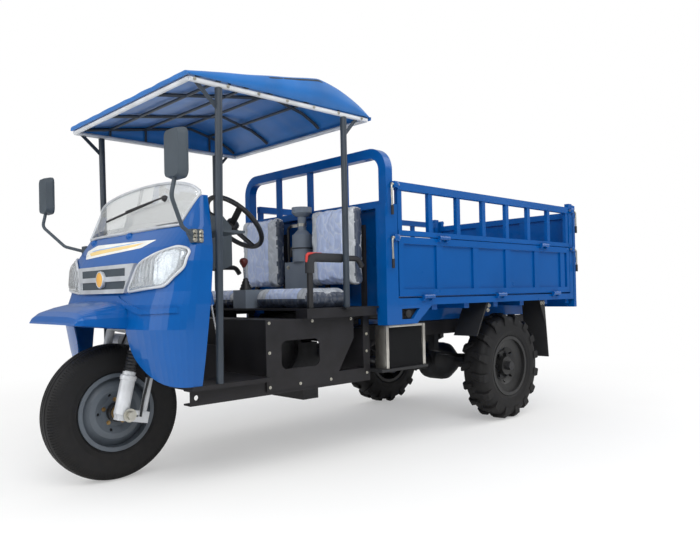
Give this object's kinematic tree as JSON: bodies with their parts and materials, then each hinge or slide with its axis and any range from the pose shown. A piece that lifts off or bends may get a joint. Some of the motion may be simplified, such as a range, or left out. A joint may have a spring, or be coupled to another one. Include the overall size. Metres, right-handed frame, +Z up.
{
  "type": "dump tricycle",
  "caption": "Open-cab cargo tricycle with a tipping load bed, drop gates with folding fences, single steered front wheel, cloth canopy and lugged rear tyres.",
  "frame": {"origin": "on the ground at the middle of the overall length and width", "axes": "+X forward, +Y to the vehicle's left, +Z up"},
  "size_m": [3.76, 1.598, 1.99],
  "materials": {
    "frame_steel": "black chassis paint, satin",
    "blue_paint": "gloss blue enamel",
    "slate_paint": "slate paint, satin",
    "rim_paint": "grey wheel paint",
    "black_paint": "black wheel paint",
    "silver_paint": "silver paint",
    "engine_iron": "cast, painted dark",
    "spring_steel": "rolled spring steel",
    "bright_steel": "ground and plated rod",
    "tyre_rubber": "moulded rubber",
    "seat_fabric": "woven cover under clear film",
    "canopy_cloth": "coated tarpaulin",
    "black_plastic": "moulded",
    "slate_plastic": "moulded",
    "grille_trim": "bright trim",
    "lamp_lens": "clear lens",
    "tail_lens": "red lens",
    "screen_glass": "clear sheet",
    "radiator_metal": "bare tanks and dark fins",
    "flap_rubber": "sheet rubber"
  },
  "bodies": {
    "chassis": {"chassis_frame": "frame_steel", "lower_frame": "frame_steel", "frame_cross": "frame_steel", "steering_neck": "frame_steel", "footboard": "frame_steel", "side_plates": "frame_steel", "engine": "engine_iron", "centre_cover": "slate_plastic", "seat_frame": "frame_steel", "seat_cushion_left": "seat_fabric", "seat_cushion_right": "seat_fabric", "seat_back_left": "seat_fabric", "seat_back_right": "seat_fabric", "armrests": "black_plastic", "gear_lever": "black_plastic", "pedals": "frame_steel", "hand_brake": "bright_steel", "air_cleaner": "black_plastic", "cab_shell": "blue_paint", "cowl": "slate_plastic", "grille": "grille_trim", "headlamps": "lamp_lens", "windscreen": "screen_glass", "dashboard": "slate_plastic", "steering_column": "frame_steel", "mirrors": "slate_plastic", "canopy_posts": "slate_paint", "canopy_rails": "silver_paint", "canopy_bars": "slate_paint", "canopy_cover": "canopy_cloth", "radiator": "radiator_metal", "fuel_tank": "frame_steel", "exhaust": "frame_steel", "drive_shaft": "frame_steel", "rear_axle": "engine_iron", "leaf_springs": "spring_steel", "tail_lamps": "tail_lens"},
    "fork": {"fork_yoke": "silver_paint", "fork_legs": "silver_paint"},
    "front_wheel": {"front_tyre": "tyre_rubber", "front_rim": "rim_paint"},
    "rear_wheel_left": {"rear_tyre_left": "tyre_rubber", "rear_rim_left": "black_paint"},
    "rear_wheel_right": {"rear_tyre_right": "tyre_rubber", "rear_rim_right": "black_paint"},
    "steering_wheel": {"steering_wheel": "black_plastic"},
    "bed": {"bed_floor": "blue_paint", "bed_sills": "blue_paint", "bed_gussets": "blue_paint", "headboard": "blue_paint", "rear_posts": "blue_paint", "mudguards": "flap_rubber"},
    "gate_left": {"gate_left": "blue_paint"},
    "gate_right": {"gate_right": "blue_paint"},
    "fence_left": {"fence_left": "blue_paint"},
    "fence_right": {"fence_right": "blue_paint"},
    "tailgate": {"tailgate": "blue_paint"},
    "lift_barrel": {"lift_barrel": "frame_steel"},
    "lift_rod": {"lift_rod": "bright_steel"}
  },
  "joints": [
    {"name": "steer", "type": "hinge", "parent": "chassis", "child": "fork", "pos_m": [1.515, 0, 0.33], "axis": [-0.225, 0, 0.9744], "range_deg": [-40, 40]},
    {"name": "front_wheel_spin", "type": "hinge", "parent": "fork", "child": "front_wheel", "pos_m": [1.55, 0, 0.33], "axis": [0, 1, 0], "continuous": true},
    {"name": "rear_left_spin", "type": "hinge", "parent": "chassis", "child": "rear_wheel_left", "pos_m": [-0.98, 0.565, 0.363], "axis": [0, 1, 0], "continuous": true},
    {"name": "rear_right_spin", "type": "hinge", "parent": "chassis", "child": "rear_wheel_right", "pos_m": [-0.98, -0.565, 0.363], "axis": [0, 1, 0], "continuous": true},
    {"name": "steering_wheel_turn", "type": "hinge", "parent": "chassis", "child": "steering_wheel", "pos_m": [0.82, 0, 1.3], "axis": [-0.7071, 0, 0.7071], "range_deg": [-240, 240]},
    {"name": "bed_tip", "type": "hinge", "parent": "chassis", "child": "bed", "pos_m": [-1.68, 0, 0.72], "axis": [0, -1, 0], "range_deg": [0, 40]},
    {"name": "gate_left_drop", "type": "hinge", "parent": "bed", "child": "gate_left", "pos_m": [0, 0.693, 0.856], "axis": [1, 0, 0], "range_deg": [-170, 0]},
    {"name": "gate_right_drop", "type": "hinge", "parent": "bed", "child": "gate_right", "pos_m": [0, -0.693, 0.856], "axis": [-1, 0, 0], "range_deg": [-170, 0]},
    {"name": "fence_left_fold", "type": "hinge", "parent": "gate_left", "child": "fence_left", "pos_m": [0, 0.693, 1.205], "axis": [-1, 0, 0], "range_deg": [0, 165]},
    {"name": "fence_right_fold", "type": "hinge", "parent": "gate_right", "child": "fence_right", "pos_m": [0, -0.693, 1.205], "axis": [1, 0, 0], "range_deg": [0, 165]},
    {"name": "tailgate_swing", "type": "hinge", "parent": "bed", "child": "tailgate", "pos_m": [-1.86, 0, 1.512], "axis": [0, 1, 0], "range_deg": [0, 85]},
    {"name": "lift_barrel_swing", "type": "hinge", "parent": "chassis", "child": "lift_barrel", "pos_m": [-0.18, 0, 0.53], "axis": [0, 1, 0], "range_deg": [0, 19.38]},
    {"name": "lift_rod_slide", "type": "slide", "parent": "lift_barrel", "child": "lift_rod", "axis": [-0.9493, 0, 0.3144], "range_m": [0, 0.4196]}
  ],
  "couplings": [
    {"joint": "steering_wheel_turn", "follows": "steer", "ratio": 6},
    {"joint": "lift_barrel_swing", "follows": "bed_tip", "ratio": 0.4695},
    {"joint": "lift_rod_slide", "follows": "bed_tip", "m_per_rad": 0.5953}
  ]
}
